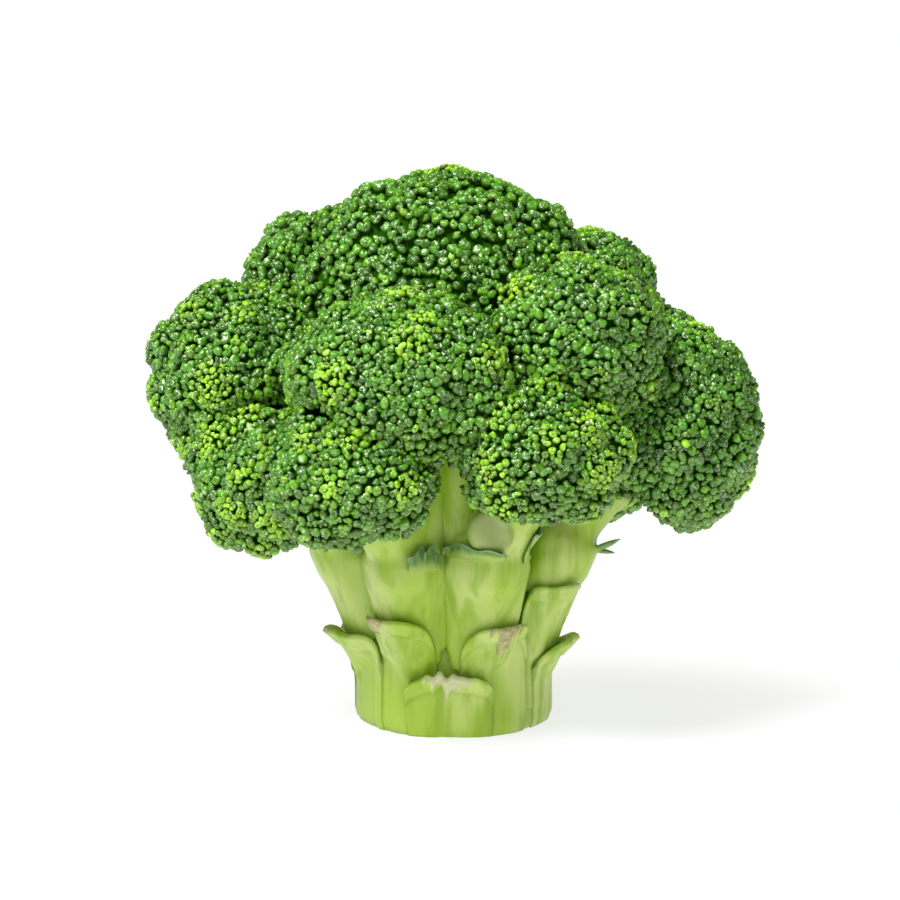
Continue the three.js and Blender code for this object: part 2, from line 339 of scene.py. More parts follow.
class Nodes:
    """A node tree under construction."""

    def __init__(self, tree):
        self.tree = tree

    def node(self, kind, **settings):
        """Adds a node. Settings that start with in_ fill or link its sockets."""
        node = self.tree.nodes.new("ShaderNode" + kind)
        for key, value in settings.items():
            if not key.startswith("in_"):
                setattr(node, key, value)
        for key, value in settings.items():
            if key.startswith("in_"):
                name = key[3:].replace("_", " ")
                socket = node.inputs[int(name) if name.isdigit() else name]
                if isinstance(value, bpy.types.NodeSocket):
                    self.tree.links.new(value, socket)
                else:
                    socket.default_value = value
        return node

    def place(self, stretch=(1, 1, 1)):
        """Object coordinates, in metres, stretched."""
        coordinates = self.node("TexCoord").outputs["Object"]
        return self.node("Mapping", in_Vector=coordinates, in_Scale=stretch).outputs["Vector"]

    def noise(self, scale, detail=2.0, stretch=(1, 1, 1)):
        return self.node(
            "TexNoise", in_Vector=self.place(stretch), in_Scale=scale, in_Detail=detail
        ).outputs["Fac"]

    def ramp(self, value, low, high, start=0.0, end=1.0):
        """Maps a value from low..high to start..end, smoothly."""
        return self.node(
            "MapRange",
            interpolation_type="SMOOTHSTEP",
            in_Value=value,
            in_From_Min=low,
            in_From_Max=high,
            in_To_Min=start,
            in_To_Max=end,
        ).outputs["Result"]

    def blend(self, share, first, second, mode="MIX"):
        """Mixes two colours, each a socket or a tuple."""
        first, second = ((*c, 1) if isinstance(c, tuple) else c for c in (first, second))
        mix = {"data_type": "RGBA", "blend_type": mode, "in_0": share, "in_6": first}
        return self.node("Mix", **mix, in_7=second).outputs[2]

    def product(self, first, second):
        return self.node("Math", operation="MULTIPLY", in_0=first, in_1=second).outputs[0]

    def bump(self, height, strength, depth, under=None):
        node = self.node("Bump", in_Height=height, in_Strength=strength, in_Distance=depth)
        if under:
            self.tree.links.new(under, node.inputs["Normal"])
        return node.outputs["Normal"]


class Paint(Nodes):
    """A material under construction: its node tree and its principled shader."""

    def __init__(self, name, roughness, **shader):
        self.material = bpy.data.materials.new(name)
        self.material.use_nodes = True
        super().__init__(self.material.node_tree)
        self.shader = self.tree.nodes["Principled BSDF"]
        for socket, value in {"Roughness": roughness, **shader}.items():
            self.shader.inputs[socket.replace("_", " ")].default_value = value

    def link(self, value, socket):
        self.tree.links.new(value, self.shader.inputs[socket])


def bud_material():
    """Waxy buds: each point has its own green, darkened by painted shade and lightened by a
    painted highlight, and its alpha says how much wax and painted highlight frost it.
    """
    paint_ = Paint(
        "flower_buds",
        0.27,
        Specular_IOR_Level=0.9,
    )
    own = paint_.node("Attribute", attribute_name="bud_colour")
    # Frost: the bud's wax on its tip, with painted highlight specks.
    bloom = paint_.ramp(paint_.noise(1300, 3.0), 0.57, 0.66, 0.0, 0.85)
    bloom = paint_.product(bloom, own.outputs["Alpha"])
    wax_and_highlight = paint_.blend(bloom, own.outputs["Color"], FROST_AND_HIGHLIGHT)
    paint_.link(wax_and_highlight, "Base Color")
    paint_.link(paint_.bump(paint_.noise(1800, 2.0), 0.4, 0.25 * MM), "Normal")
    return paint_.material


def crown_flesh_material():
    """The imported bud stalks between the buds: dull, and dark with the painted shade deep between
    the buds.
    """
    paint_ = Paint("crown_flesh", 0.9, Specular_IOR_Level=0.05)
    own = paint_.node("Attribute", attribute_name="bud_colour").outputs["Color"]
    strands = paint_.ramp(paint_.noise(900, 3.0), 0.3, 0.7)
    strands = paint_.product(strands, 0.6)
    paint_.link(paint_.blend(strands, own, STRANDS, "MULTIPLY"), "Base Color")
    return paint_.material


def stalk_material(name, settings):
    """Pale waxy skin with greener streaks along the stalk, whitish bloom, painted shade near the
    floor, and painted marks: red where a cut has healed, green for dark green veins and rims
    and for painted shade in creases and under lips, blue where raw flesh shows."""
    paint_ = Paint(
        name,
        0.38,
        Specular_IOR_Level=0.45,
        Subsurface_Weight=0.15,
        Subsurface_Radius=(0.6, 1.0, 0.2),
        Subsurface_Scale=2 * MM,
    )
    streaks = paint_.ramp(paint_.noise(230, 3.0, (1, 1, 0.10)), 0.44, 0.66, 0.0, 0.75)
    patches = paint_.ramp(paint_.noise(70, 3.0, (1, 1, 0.5)), 0.40, 0.64)
    body = paint_.blend(patches, tuple(settings.flesh), tuple(settings.bloom))
    body = paint_.blend(streaks, body, tuple(settings.vein))
    # Painted shade: the skin darkens towards the floor.
    height = paint_.node("SeparateXYZ", in_0=paint_.place()).outputs["Z"]
    foot = paint_.ramp(height, 0.0, 18 * MM, 1.0, 0.0)
    body = paint_.blend(foot, body, FOOT_PAINTED_SHADE, "MULTIPLY")
    marks = paint_.node("Attribute", attribute_name="marks").outputs["Color"]
    split = paint_.node("SeparateColor", in_0=marks)
    healed, green_and_shade, raw = (split.outputs[index] for index in range(3))
    body = paint_.blend(raw, body, RAW_FLESH)
    # Green: dark green veins and rims, and painted shade in creases and under lips.
    body = paint_.blend(green_and_shade, body, DARK_GREEN_AND_SHADE)
    crust = paint_.ramp(paint_.noise(620, 4.0), 0.38, 0.62)
    body = paint_.blend(healed, body, paint_.blend(crust, *SCAB))
    paint_.link(body, "Base Color")
    grain = paint_.bump(paint_.noise(500, 3.0, (1, 1, 0.12)), 0.25, 0.35 * MM)
    rough = paint_.product(paint_.noise(1100, 3.0), healed)
    paint_.link(paint_.bump(rough, 0.9, 0.8 * MM, under=grain), "Normal")
    return paint_.material


def leaf_material(name):
    """Bluish-green waxy leaf with a paler foot and fine veins."""
    paint_ = Paint(name, 0.42, Specular_IOR_Level=0.5)
    marks = paint_.node("Attribute", attribute_name="marks").outputs["Color"]
    split = paint_.node("SeparateColor", in_0=marks)
    foot, rim = split.outputs[0], split.outputs[1]
    veins = paint_.ramp(paint_.noise(700, 3.0, (1, 1, 0.3)), 0.4, 0.65)
    blade = paint_.blend(foot, paint_.blend(veins, *BLADE), BLADE_FOOT)
    blade = paint_.blend(rim, blade, BLADE_RIM)
    paint_.link(blade, "Base Color")
    paint_.link(paint_.bump(veins, 0.3, 0.2 * MM), "Normal")
    return paint_.material


# ---- crowns


SPRING_HEIGHT = 33 * MM  # where the crowns' stems spring from the stalk's axis
CLUSTER_TRIES = 900  # random places to choose the clusters' middles from
HONEYCOMB = 0.866  # a cluster's area, as a share of its spacing squared
CLUSTER_REACH = 0.62  # a cluster's radius, as a share of its spacing
CLUSTER_LIFTS = (-1.0, 0.9)  # how far clusters stand out, in millimetres
FRESH, AGED = (0.55, 1), 0.12  # how fresh young and old clusters are
STRAY = 1.1 * MM  # how far buds may stray into the next cluster
SPLAY = 0.55  # how far the buds at a cluster's edge lean out
CLOSENESS = 0.68  # how far apart two buds stay, as a share of their width
FILLER_STEP = 0.55 * MM  # one more bud is tried in each square of this side
FILLER_WIDTHS = (1.5, 2.1)  # in millimetres
FILLER_CLOSENESS = 0.72
MOST_BUDS = 1850  # on one crown
TUCK = 1.3 * MM  # how far the buds sit back from the crown's own surface
CREASE_REACH = 6 * MM  # less so this close to the next crown
BULGE = 1.9 * MM  # how far they bulge out to close a crease
BULGE_REACH = 4.5 * MM  # in full, where the crease is up to this wide
CLEARANCE = 2.2 * MM  # what a bud needs in front of it
HOLLOW = 14 * MM  # an underside this far from the next crown bears no buds
FLESH_DEPTH = 2.3 * MM  # how deep the flesh lies under the buds
FLESH_BAND = 0.2  # the share of the texture that the flesh takes


class Crown:
    """The surface of one crown's node, with the places of its bud clusters on it."""

    def __init__(self, node, settings, others):
        self.settings = settings
        self.random = np.random.default_rng(settings.seed + 31 * CROWNS.index(node))
        self.youth = YOUTH.get(node, USUAL_YOUTH)
        guide = welded_copy(node, node + "_guide")
        guide.modifiers.new("Round", "SUBSURF").levels = 2
        settle(guide)
        guide.data.update()
        self.points = points_of(guide.data)
        self.normals = normals_of(guide.data)
        quads = np.empty(len(guide.data.loops), dtype=np.int32)
        guide.data.loops.foreach_get("vertex_index", quads)
        self.quads = quads.reshape(-1, 4)
        self.tree = BVHTree.FromPolygons(self.points.tolist(), self.quads.tolist())
        bpy.data.objects.remove(guide)
        self.middle = self.points.mean(axis=0)
        spring = np.array([*stalk_axis(), SPRING_HEIGHT])
        self.facing = unit(self.middle - spring)
        self.side = sideways(self.facing)
        self.other = np.cross(self.facing, self.side)
        self.others = others
        self.clusters = self.place_clusters()

    def scatter(self, count):
        """Random places over the crown's surface, with their normals."""
        a, b, c, d = (self.points[self.quads[:, i]] for i in range(4))
        area = np.linalg.norm(np.cross(c - a, d - b), axis=1)
        self.area = 0.5 * area.sum()
        face = self.random.choice(len(area), size=count, p=area / area.sum())
        u, v = self.random.random((2, count, 1))
        place = (1 - u) * ((1 - v) * a[face] + v * b[face]) + u * ((1 - v) * d[face] + v * c[face])
        na, nb, nc, nd = (self.normals[self.quads[face, i]] for i in range(4))
        normal = (1 - u) * ((1 - v) * na + v * nb) + u * ((1 - v) * nd + v * nc)
        return place, unit(normal)

    def place_clusters(self):
        """Evenly spread cluster middles: each next one is the place furthest from all before."""
        places, normals = self.scatter(CLUSTER_TRIES)
        spacing = self.settings.cluster * (1 - 0.25 * self.youth)
        count = max(6, round(self.area / (HONEYCOMB * spacing**2)))
        chosen = [0]
        gap = np.linalg.norm(places - places[0], axis=1)
        while len(chosen) < count:
            chosen.append(int(gap.argmax()))
            gap = np.minimum(gap, np.linalg.norm(places - places[chosen[-1]], axis=1))
        self.reach = CLUSTER_REACH * spacing
        self.cluster_normals = normals[chosen]
        self.lift = self.random.uniform(*CLUSTER_LIFTS, count) * MM
        fresh = self.random.random(count) < self.youth
        self.freshness = np.where(fresh, self.random.uniform(*FRESH, count), AGED)
        return places[chosen]

    def swell_at(self, places):
        """How far the clusters dome out of the crown at each place, the nearest cluster to it,
        and how far from that cluster's middle it is."""
        apart = np.linalg.norm(places[:, None] - self.clusters[None], axis=2)
        nearest = apart.argmin(axis=1)
        share = np.clip(apart.min(axis=1) / self.reach, 0, 1.25)
        return self.settings.swell * (1 - share**2) + self.lift[nearest], nearest, share

    def tuck(self, place, normal):
        """How far the buds sit back from the crown's own surface: less beside a neighbour. Where
        the surface faces one across a narrow crease, they bulge out to meet it."""
        spot, _, _, gap = self.others.find_nearest(Vector(place))
        faces = max(0.0, np.dot(unit(np.array(spot) - place), normal))
        bulge = min(0.5 * gap, BULGE) * min(1.0, max(0.0, 2 - gap / BULGE_REACH))
        return TUCK * min(1.0, gap / CREASE_REACH) - bulge * faces

    def is_hidden(self, place, normal):
        """Whether a bud here would only push into a neighbouring crown or face the stalk."""
        outside = Vector(place + CLEARANCE * normal)
        spot, outward, _, gap = self.others.find_nearest(outside)
        if np.dot(normal, self.facing) < -0.5 and gap > HOLLOW:
            return True
        return (outside - spot).dot(outward) < 0

    def grow_cluster(self, index):
        """Yields the buds of one cluster, on a spiral from the youngest to the oldest: place,
        normal, width, share of the cluster's radius, and direction from its middle."""
        settings = self.settings
        middle, upright = self.clusters[index], self.cluster_normals[index]
        side = sideways(upright)
        other = np.cross(upright, side)
        start = self.random.uniform(0, 2 * math.pi)
        fresh = self.freshness[index]
        largest = settings.largest * (1 - 0.3 * fresh)
        smallest = settings.smallest + 0.9 * MM * (1 - fresh)
        radius, step = 0.0, 0
        while radius < 1.25 * self.reach:
            share = min(radius / self.reach, 1.0)
            width = smallest + (largest - smallest) * share**0.7
            width *= self.random.uniform(0.78, 1.14)
            angle = start + step * GOLDEN_ANGLE
            around = math.cos(angle) * side + math.sin(angle) * other
            jitter = self.random.normal(0, 0.16 * width, 3)
            spot, normal, _, _ = self.tree.find_nearest(Vector(middle + radius * around + jitter))
            yield np.array(spot), np.array(normal), width, share, around
            radius = math.sqrt(radius**2 + 0.74 * width**2 / math.pi)
            step += 1

    def grow_buds(self):
        """All the buds of the crown: first the clusters, then small ones in the gaps."""
        buds = Buds()
        for index in range(len(self.clusters)):
            for spot, normal, width, share, around in self.grow_cluster(index):
                apart = np.linalg.norm(self.clusters - spot, axis=1)
                if apart[index] > apart.min() + STRAY or self.is_hidden(spot, normal):
                    continue
                swell = self.settings.swell * (1 - min(share, 1.2) ** 2) + self.lift[index]
                swell += self.random.normal(0, 0.2) * MM - self.tuck(spot, normal)
                centre = spot + (swell - 0.45 * width) * normal
                axis = unit(normal + SPLAY * share * around)
                buds.add(centre, axis, width, share, self.freshness[index], CLOSENESS)
        places, normals = self.scatter(int(self.area / FILLER_STEP**2))
        swells, nearest, shares = self.swell_at(places)
        for place, normal, swell, index, share in zip(places, normals, swells, nearest, shares):
            width = self.random.uniform(*FILLER_WIDTHS) * MM
            back = self.tuck(place, normal) + 0.5 * width + 0.3 * MM
            centre = place + (swell - back) * normal
            if len(buds.rows) == MOST_BUDS:
                break
            if not self.is_hidden(place, normal):
                buds.add(centre, normal, width, share, self.freshness[index], FILLER_CLOSENESS)
        return buds

    def core(self):
        """The crown's flesh under the buds: its points, its triangles, and how far each point
        is on the underside, where it is ridged."""
        swells, _, _ = self.swell_at(self.points)
        below = np.clip(-(self.normals @ self.facing) - 0.35, 0, 0.4) / 0.4
        ray = self.points - self.middle
        turn = np.arctan2(ray @ self.other, ray @ self.side)
        ridges = np.sin(11 * turn + 2 * np.sin(3 * turn)) * below
        sink = np.array([self.tuck(*pair) for pair in zip(self.points, self.normals)])
        sink += FLESH_DEPTH + 2.4 * MM * below - 0.9 * MM * ridges
        points = self.points + self.normals * (swells * (1 - below) - sink)[:, None]
        # Painted shade: the grooves between the ridges take more of the dark crease colour.
        below *= 0.62 + 0.38 * ridges
        triangles = np.concatenate([self.quads[:, [0, 1, 2]], self.quads[:, [0, 2, 3]]])
        return points, triangles, below

    def core_map(self, points, triangles):
        """Unrolls the flesh into the last band of the texture, as a long flat disc."""
        ray = unit(points - self.middle)
        reach = np.arccos(np.clip(ray @ self.facing, -1, 1)) / math.pi
        angle = np.arctan2(ray @ self.other, ray @ self.side)
        across = 0.5 + 0.49 * reach * np.cos(angle)
        along = 0.5 + 0.49 * reach * np.sin(angle)
        high = 1 - 0.9 * FLESH_BAND * along
        return np.stack([across, high], axis=1)[triangles].reshape(-1, 2)


class Buds:
    """Buds that keep their distance from each other, sorted into cells."""

    CELL = 3 * MM

    def __init__(self):
        self.rows = []
        self.cells = {}

    def cell(self, centre):
        return tuple(int(math.floor(value / self.CELL)) for value in centre)

    def is_free(self, centre, width, closeness):
        x, y, z = self.cell(centre)
        for i in (x - 1, x, x + 1):
            for j in (y - 1, y, y + 1):
                for k in (z - 1, z, z + 1):
                    for other in self.cells.get((i, j, k), ()):
                        least = closeness * 0.5 * (width + other[1])
                        step = centre - other[0]
                        if step[0] ** 2 + step[1] ** 2 + step[2] ** 2 < least * least:
                            return False
        return True

    def add(self, centre, axis, width, share, fresh, closeness):
        if self.is_free(centre, width, closeness):
            self.rows.append((*centre, *axis, width, share, fresh))
            self.cells.setdefault(self.cell(centre), []).append((centre, width))


BUD_SIDES = 10
BUD_RINGS = ((-0.38, 0.29), (-0.10, 0.46), (0.18, 0.50), (0.39, 0.40), (0.49, 0.20))
BUD_ENDS = (-0.52, 0.52)
BUD_PAINTED_LIGHT = (0.10, 0.18, 0.45, 0.95, 1.4, 1.8, 1.6)  # painted shade at the bud's foot, rising to a painted highlight towards its tip
BUD_WAX_AND_HIGHLIGHT = (0.0, 0.0, 0.0, 0.15, 0.8, 1.0, 0.8)  # likewise


def bud_triangles():
    """The triangles of a bud, and where each corner lies on a flat disc that unrolls the bud."""
    top = 1 + BUD_SIDES * len(BUD_RINGS)
    last = len(BUD_RINGS) - 1
    triangles, disc = [], []

    def corner(ring, side):
        return 1 + ring * BUD_SIDES + side % BUD_SIDES

    def place(ring, side):
        reach = 0.47 * (last + 1.5 - ring) / (last + 2.5)
        angle = 2 * math.pi * side / BUD_SIDES
        return 0.5 + reach * math.cos(angle), 0.5 + reach * math.sin(angle)

    for side in range(BUD_SIDES):
        triangles.append((0, corner(0, side + 1), corner(0, side)))
        disc.append((place(-1, side + 0.5), place(0, side + 1), place(0, side)))
        for ring in range(last):
            a, b = corner(ring, side), corner(ring, side + 1)
            c, d = corner(ring + 1, side + 1), corner(ring + 1, side)
            triangles += [(a, b, c), (a, c, d)]
            low, high = ring, ring + 1
            disc.append((place(low, side), place(low, side + 1), place(high, side + 1)))
            disc.append((place(low, side), place(high, side + 1), place(high, side)))
        triangles.append((corner(last, side), corner(last, side + 1), top))
        disc.append((place(last, side), place(last, side + 1), (0.5, 0.5)))
    return np.array(triangles), np.array(disc)


def ring_values(values):
    """Spreads one value for each end and ring of a bud over its corners."""
    return np.array([values[0], *np.repeat(values[1:-1], BUD_SIDES), values[-1]])


def bud_points(random, count):
    """The points of upright buds of width 1, each with its own lobes, opening, lean and waist,
    and each point's painted light: shade low down, in grooves and pits, highlight near the tip."""
    side = 2 * math.pi * np.arange(BUD_SIDES) / BUD_SIDES
    folds = random.choice([2, 3, 3, 4], count)[:, None]
    lobes = random.uniform(0.03, 0.17, count)[:, None]
    opening = np.clip(random.normal(0.25, 0.45, count), 0, 1)[:, None]
    lean = random.normal(0, 0.12, (count, 2))
    oval = random.uniform(0.82, 1.18, count)[:, None]
    points = np.zeros((count, 2 + BUD_SIDES * len(BUD_RINGS), 3))
    shade = np.tile(ring_values(BUD_PAINTED_LIGHT), (count, 1))
    fold_wave = np.cos(folds * side[None])
    for ring, (height, radius) in enumerate(BUD_RINGS):
        rise = (height - BUD_ENDS[0]) / (BUD_ENDS[1] - BUD_ENDS[0])
        reach = radius * (1 + lobes * (0.3 + 1.5 * rise**2) * fold_wave + 0.30 * opening * rise**6)
        uneven = 1 + random.normal(0, 0.03, (count, BUD_SIDES))
        rows = slice(1 + ring * BUD_SIDES, 1 + (ring + 1) * BUD_SIDES)
        points[:, rows, 0] = reach * np.cos(side) * oval * uneven + lean[:, :1] * rise**2
        points[:, rows, 1] = reach * np.sin(side) / oval * uneven + lean[:, 1:] * rise**2
        points[:, rows, 2] = height + 1.1 * lobes * rise**3 * (fold_wave - 1)
        # Painted shade in the grooves between the lobes.
        shade[:, rows] *= 1 - 2.2 * lobes * rise**2 * (1 - fold_wave)
    points[:, 0, 2] = BUD_ENDS[0]
    points[:, -1, :2] = lean
    points[:, -1, 2] = BUD_ENDS[1] - 0.34 * opening[:, 0]
    # Painted shade in the pit of an open tip.
    shade[:, -1] -= 1.15 * opening[:, 0]
    return points, np.clip(shade, 0.03, None)


def bud_mesh(name, crown, buds, settings):
    """One mesh of a crown's buds and of the flesh under them."""
    triangles, disc = bud_triangles()
    rows = np.array(buds.rows)
    centre, axis = rows[:, :3], rows[:, 3:6]
    width, share, fresh = rows[:, 6:].T
    count = len(rows)
    random = crown.random
    shape, shade = bud_points(random, count)
    corners = shape.shape[1]
    spin = random.uniform(0, 2 * math.pi, count)
    side = sideways(axis)
    other = np.cross(axis, side)
    first = np.cos(spin)[:, None] * side + np.sin(spin)[:, None] * other
    second = np.cross(axis, first)
    length = width * random.uniform(0.9, 1.3, count)
    points = (
        centre[:, None]
        + shape[:, :, :1] * (width[:, None] * first)[:, None]
        + shape[:, :, 1:2] * (width[:, None] * second)[:, None]
        + shape[:, :, 2:] * (length[:, None] * axis)[:, None]
    ).reshape(-1, 3)
    faces = (triangles[None] + corners * np.arange(count)[:, None, None]).reshape(-1, 3)
    core_points, core_faces, below = crown.core()
    mesh = mesh_of(
        name,
        np.concatenate([points, core_points]),
        np.concatenate([faces, core_faces + len(points)]),
    )
    kinds = np.concatenate([np.zeros(len(faces)), np.ones(len(core_faces))]).astype(np.int32)
    mesh.polygons.foreach_set("material_index", kinds)

    colours = bud_colours(settings, share, fresh, axis, random)
    # Each bud's colour, darkened by painted shade low down, in its grooves and in its pit, and
    # lightened by a painted highlight near its tip.
    colours = (colours[:, None] * shade[:, :, None]).reshape(-1, 3)
    # The flesh is painted shade deep between the buds, giving way to the pale underside below.
    flesh = np.array(settings.crease)[None] * (1 - below)[:, None]
    flesh = flesh + np.array(UNDERSIDE)[None] * below[:, None]
    # Alpha: how much wax and painted highlight frost each point of a bud.
    bloom = np.concatenate([np.tile(ring_values(BUD_WAX_AND_HIGHLIGHT), count), np.zeros(len(core_points))])
    paint(mesh, "bud_colour", np.concatenate([colours, flesh]), bloom)

    atlas = np.concatenate([atlas_cells(disc, count), crown.core_map(core_points, core_faces)])
    mesh.uv_layers.new(name="OFBake").data.foreach_set("uv", atlas.astype(np.float32).ravel())
    return mesh


def atlas_cells(disc, count):
    """Gives every bud a square cell of the texture of its own."""
    across = math.ceil(math.sqrt(count / (1 - FLESH_BAND)))
    size = 1 / across
    corner = np.stack([np.arange(count) % across, np.arange(count) // across], axis=1) * size
    return (corner[:, None, None] + disc[None] * size).reshape(-1, 2)


def bud_colours(settings, share, fresh, axis, random):
    """A colour for each bud: yellow-green where young, bluish where old, paler underneath."""
    count = len(share)
    young = np.clip(1.1 * fresh + 0.1 - 1.2 * share + random.normal(0, 0.22, count), 0, 1)
    young = np.clip(young + np.clip(-axis[:, 2], 0, 1) * 0.3, 0, 1)[:, None]
    waxy = np.clip(random.normal(0.45, 0.4, count) + 0.4 * (share - 0.5), 0, 1)[:, None]
    ripe = (1 - waxy) * np.array(settings.ripe) + waxy * np.array(settings.waxy)
    colours = (1 - young) * ripe + young * np.array(settings.young)
    return colours * random.uniform(0.55, 1.4, (count, 1))


class BROCCOLI_OT_crowns(Operator):
    """Grow the flower buds over every crown"""

    bl_idname = "broccoli.crowns"
    bl_label = "Grow Crowns"

    def execute(self, context):
        settings = context.scene.broccoli_buds
        skin, flesh = bud_material(), crown_flesh_material()
        for node in CROWNS:
            others = Surface(NODES[name].data for name in CROWNS if name != node)
            crown = Crown(node, settings, others.tree)
            mesh = bud_mesh(node + "_buds", crown, crown.grow_buds(), settings)
            piece = add_object(node + "_buds", mesh, skin)
            mesh.materials.append(flesh)
            finish_piece(piece, node)
        return {"FINISHED"}


# ---- stalk and branches


BRANCH_SWELL = 0.9 * MM  # makes good what smoothing takes off a branch
# What else grows on a branch, a cut stub and the stems behind it: each runs from a place to a
# place, in millimetres, with its radius there.
STUB = ((9.6, -30.0, 50.8, 5.4), (8.8, -38.0, 53.4, 4.6))
RODS = {
    "branch_front_left": (((-5.0, -19.0, 36.0, 3.6), (-7.0, -31.0, 73.0, 3.8)),),
    "branch_front_right": (((1.6, -19.0, 36.0, 3.6), (1.2, -30.0, 74.0, 4.0)), STUB),
}


def add_rod(mesh, start, end):
    """Adds a closed, tapered rod to a mesh."""
    first, last = Vector(start[:3]) * MM, Vector(end[:3]) * MM
    turn = (last - first).to_track_quat("Z", "Y").to_matrix().to_4x4()
    with editing(mesh) as shape:
        bmesh.ops.create_cone(
            shape,
            cap_ends=True,
            cap_tris=True,
            segments=24,
            radius1=start[3] * MM,
            radius2=end[3] * MM,
            depth=(last - first).length,
            matrix=Matrix.Translation((first + last) / 2) @ turn,
        )


def stub_marks(points):
    """Raw flesh on the face of the cut stub, inside a greener rim."""
    end = np.array(STUB[1][:3]) * MM
    axis = unit(end - np.array(STUB[0][:3]) * MM)
    along = (points - end) @ axis
    reach = np.linalg.norm(points - end - along[:, None] * axis, axis=1) / (STUB[1][3] * MM)
    on_face = np.clip(along / MM + 1.6, 0, 1)
    rim = np.exp(-(((reach - 0.98) / 0.13) ** 2)) * np.clip(along / MM + 3.0, 0, 1)
    marks = np.zeros((len(points), 3))
    marks[:, 1] = 0.5 * rim
    marks[:, 2] = 0.6 * on_face * np.clip((1 - reach) / 0.2, 0, 1)
    return marks


def skin_over(node, name, voxel, rounds):
    """A fine, rounded skin over a node's solid and its rods."""
    piece = welded_copy(node, name)
    for rod in RODS.get(node, ()):
        add_rod(piece.data, *rod)
    remesh = piece.modifiers.new("Remesh", "REMESH")
    remesh.mode = "VOXEL"
    remesh.voxel_size = voxel
    smooth = piece.modifiers.new("Smooth", "SMOOTH")
    smooth.factor = 0.6
    smooth.iterations = rounds
    settle(piece)
    piece.data.shade_smooth()
    return piece


def cut_marks(points):
    """Raw flesh on the cut face at the bottom, paler inside a greener ring of veins."""
    axis = np.array(stalk_axis())
    low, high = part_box("stalk")
    reach = np.linalg.norm(points[:, :2] - axis, axis=1) / (0.5 * (high[0] - low[0]))
    on_cut = np.clip(1 - points[:, 2] / (0.6 * MM), 0, 1)
    ring = np.exp(-(((reach - 0.80) / 0.06) ** 2))
    marks = np.zeros((len(points), 3))
    marks[:, 1] = 0.35 * on_cut * ring
    marks[:, 2] = on_cut * (0.95 - 0.4 * ring)
    return marks


class BROCCOLI_OT_stalk(Operator):
    """Grow the stalk, with its flat cut face"""

    bl_idname = "broccoli.stalk"
    bl_label = "Grow Stalk"

    def execute(self, context):
        settings = context.scene.broccoli_stalk
        piece = skin_over("stalk", "stalk_skin", settings.voxel, 6)
        for vertex in piece.data.vertices:
            if vertex.co.z < 0.4 * MM:
                vertex.co.z = 0
        paint(piece.data, "marks", cut_marks(points_of(piece.data)))
        piece.data.materials.append(stalk_material("stalk_flesh", settings))
        finish_piece(piece, "stalk")
        return {"FINISHED"}


class BROCCOLI_OT_branches(Operator):
    """Grow the branches"""

    bl_idname = "broccoli.branches"
    bl_label = "Grow Branches"

    def execute(self, context):
        settings = context.scene.broccoli_stalk
        material = stalk_material("branch_flesh", settings)
        for node in BRANCHES:
            piece = skin_over(node, node + "_skin", settings.voxel, 14)
            points, normals = points_of(piece.data), normals_of(piece.data)
            thicker = points + BRANCH_SWELL * normals
            piece.data.vertices.foreach_set("co", thicker.astype(np.float32).ravel())
            has_stub = STUB in RODS.get(node, ())
            marks = stub_marks(points) if has_stub else np.zeros_like(points)
            paint(piece.data, "marks", marks)
            piece.data.materials.append(material)
            finish_piece(piece, node)
        return {"FINISHED"}


# ---- leaf bases

WALL_START = 70 * MM  # from the axis, outside everything that clasps the stalk
EMBED = 1.6 * MM  # how deep a sheet is rooted in the wall
SHEET_ROWS = 44
SHEET_COLUMNS = 56
LIP_DEPTH = 3.6 * MM  # how far down a leaf base its thicker lip reaches
LEAST_STAND = 1.4 * MM  # how far a lip stands off the wall at least
# How a lip rolls in over its cut: the share of its thickness left, and its rise by it.
LIP_ROLL = ((0.92, 0.16), (0.76, 0.22), (0.58, 0.12), (0.42, -0.14), (0.14, -0.30))


class Wall(Surface):
    """The outside of the stalk, the branches and whatever has grown on them so far, seen from
    the stalk's axis."""

    def __init__(self):
        super().__init__(bpy.data.objects[node + "_skin"].data for node in ["stalk", *BRANCHES])
        self.axis = stalk_axis()

    def radius(self, angle, height):
        """How far the wall stands from the stalk's axis, at an angle and a height."""
        outward = Vector((math.cos(angle), math.sin(angle), 0))
        start = Vector((*self.axis, max(height, 0.2 * MM))) + WALL_START * outward
        distance = self.tree.ray_cast(start, -outward)[3]
        return WALL_START - distance if distance is not None else 0.0

    def radii(self, angles, heights, rounds, along=False):
        """The radius at each place of a grid, smoothed across it, and up it too if asked."""
        walls = np.array([[self.radius(a, z) for a, z in zip(angles, row)] for row in heights])
        for _ in range(rounds):
            walls[:, 1:-1] = (walls[:, :-2] + 2 * walls[:, 1:-1] + walls[:, 2:]) / 4
            if along:
                walls[1:-1] = (walls[:-2] + 2 * walls[1:-1] + walls[2:]) / 4
        return walls

    def grid(self, angles, reach, height):
        """Places at an angle, a reach from the axis and a height."""
        x = self.axis[0] + reach * np.cos(angles)
        y = self.axis[1] + reach * np.sin(angles)
        return np.stack([x, y, height], axis=2)


def wave(values, random, low=2, high=5, terms=4):
    """A smooth random wobble, between about -1 and 1."""
    total = np.zeros_like(values)
    for _ in range(terms):
        total += np.sin(random.uniform(low, high) * values + random.uniform(0, 2 * math.pi))
    return total / terms**0.5


def span_of(node, axis):
    """A node's middle angle round the stalk, half its span, its lowest and highest point, and
    how far its top stands from the axis."""
    points = points_of(NODES[node].data)
    across = points[:, :2] - np.array(axis)
    middle = across.mean(axis=0)
    centre = math.atan2(middle[1], middle[0])
    angles = np.arctan2(across[:, 1], across[:, 0]) - centre
    angles = (angles + math.pi) % (2 * math.pi) - math.pi
    centre += (angles.max() + angles.min()) / 2
    half = (angles.max() - angles.min()) / 2
    reach = np.linalg.norm(across, axis=1).max()
    return centre, half, points[:, 2].min(), points[:, 2].max(), reach


